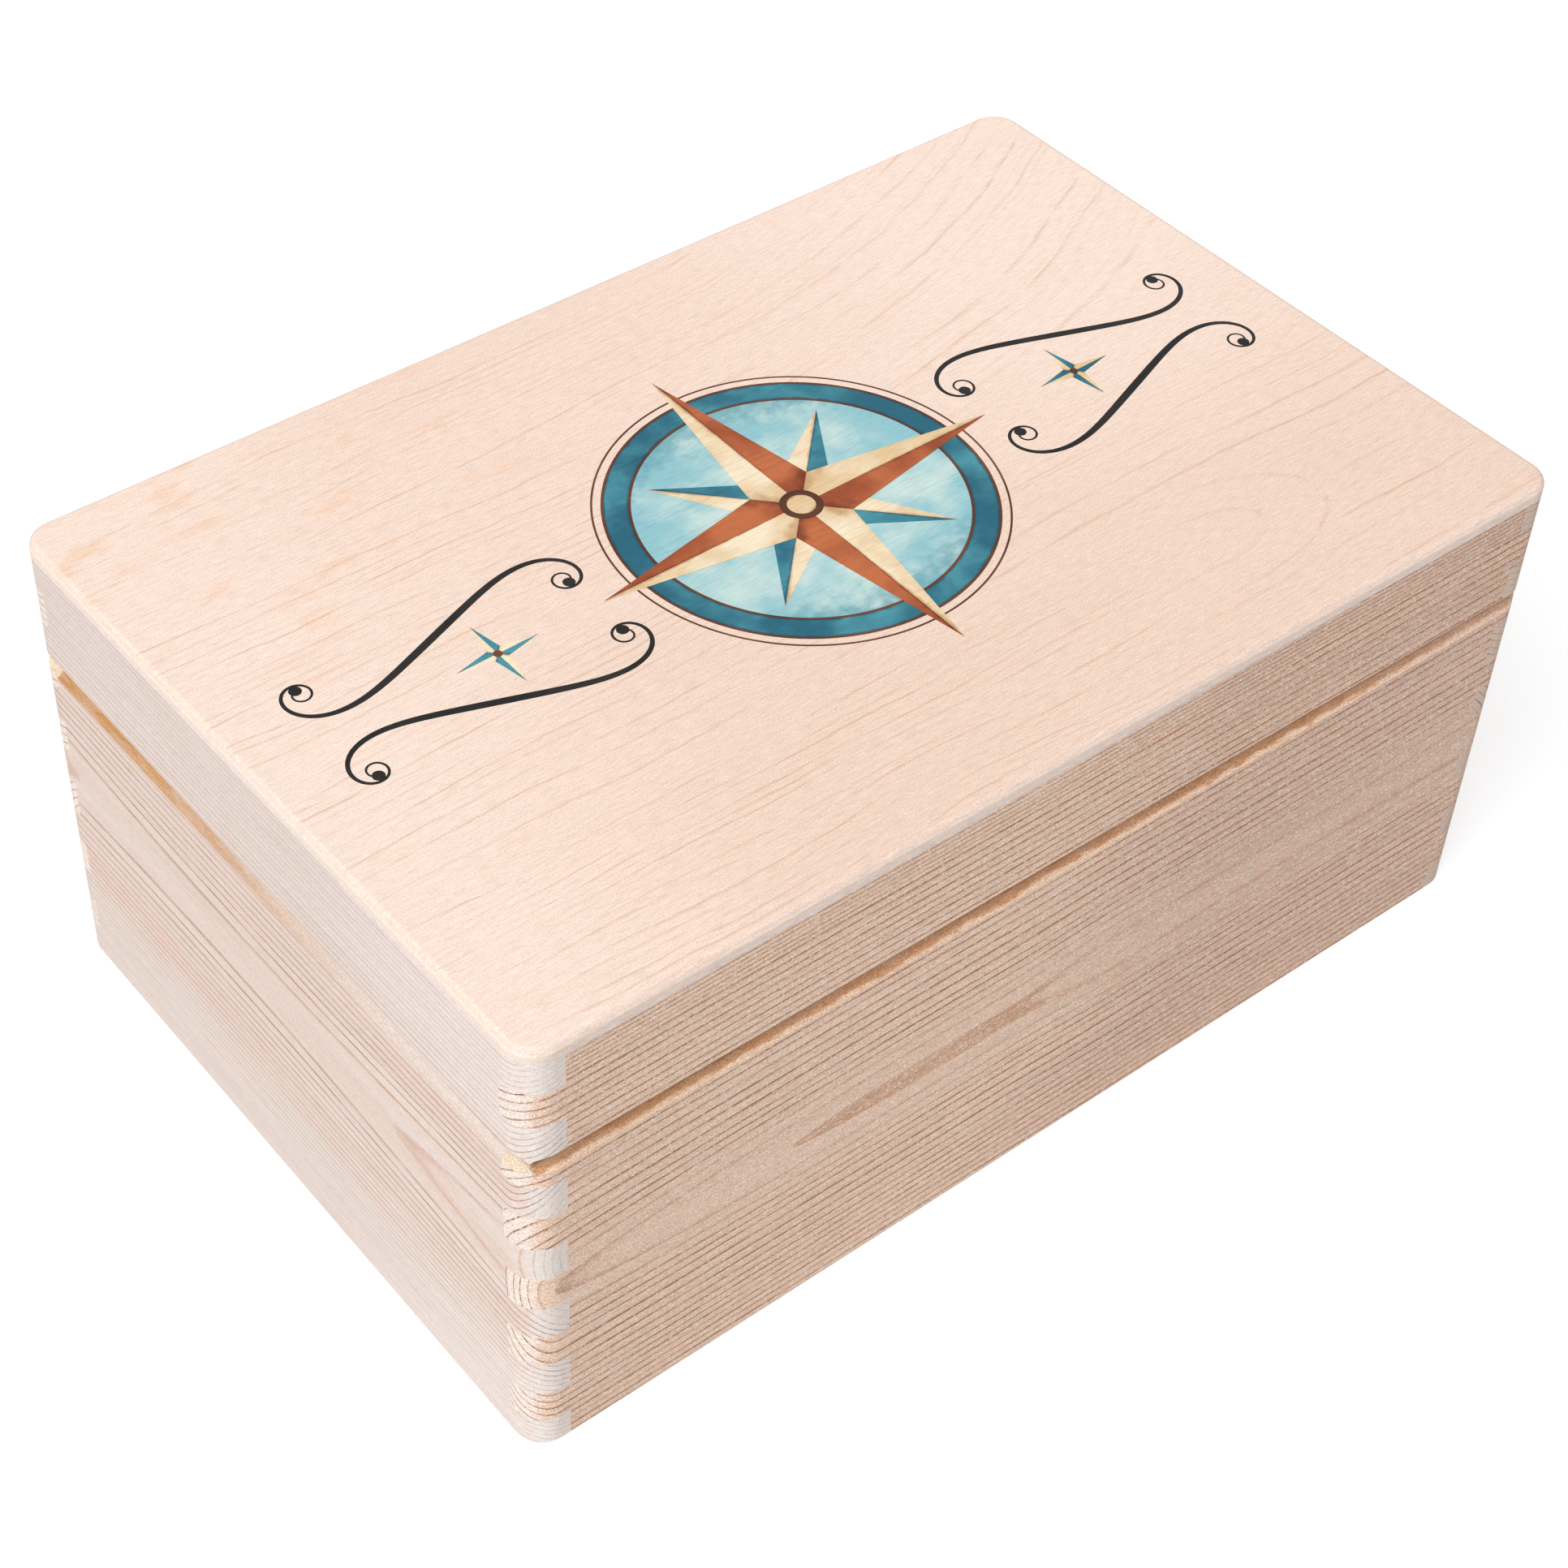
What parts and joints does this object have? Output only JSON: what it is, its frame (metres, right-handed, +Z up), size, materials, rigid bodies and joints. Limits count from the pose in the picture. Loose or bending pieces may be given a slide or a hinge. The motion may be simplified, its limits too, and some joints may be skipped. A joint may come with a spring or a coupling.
{
  "type": "wooden keepsake box",
  "caption": "Rectangular pine keepsake box with finger-jointed rounded corners, a plywood-topped hinged lid and a finger groove along the parting line.",
  "frame": {"origin": "middle of the box's footprint, on the surface it stands on", "axes": "+Z up, +X along the long sides, front towards -Y, hinges at the back towards +Y"},
  "size_m": [0.3, 0.1976, 0.1344],
  "materials": {
    "pine": "sanded bare wood",
    "top_plywood": "sanded bare veneer",
    "bottom_plywood": "sanded bare veneer",
    "hinge_brass": "satin plated",
    "screw_brass": "satin plated"
  },
  "bodies": {
    "base": {"base_front_wall": "pine", "base_back_wall": "pine", "base_left_wall": "pine", "base_right_wall": "pine", "bottom_panel": "bottom_plywood", "left_hinge_base_leaf": "hinge_brass", "left_hinge_pin": "hinge_brass", "left_hinge_base_screws": "screw_brass", "right_hinge_base_leaf": "hinge_brass", "right_hinge_pin": "hinge_brass", "right_hinge_base_screws": "screw_brass"},
    "lid": {"lid_front_rail": "pine", "lid_back_rail": "pine", "lid_left_rail": "pine", "lid_right_rail": "pine", "lid_top_panel": "top_plywood", "left_hinge_lid_leaf": "hinge_brass", "left_hinge_lid_screws": "screw_brass", "right_hinge_lid_leaf": "hinge_brass", "right_hinge_lid_screws": "screw_brass"}
  },
  "joints": [
    {"name": "lid_hinge", "type": "hinge", "parent": "base", "child": "lid", "pos_m": [0, 0.09695, 0.0989], "axis": [-1, 0, 0], "range_deg": [0, 105]}
  ]
}
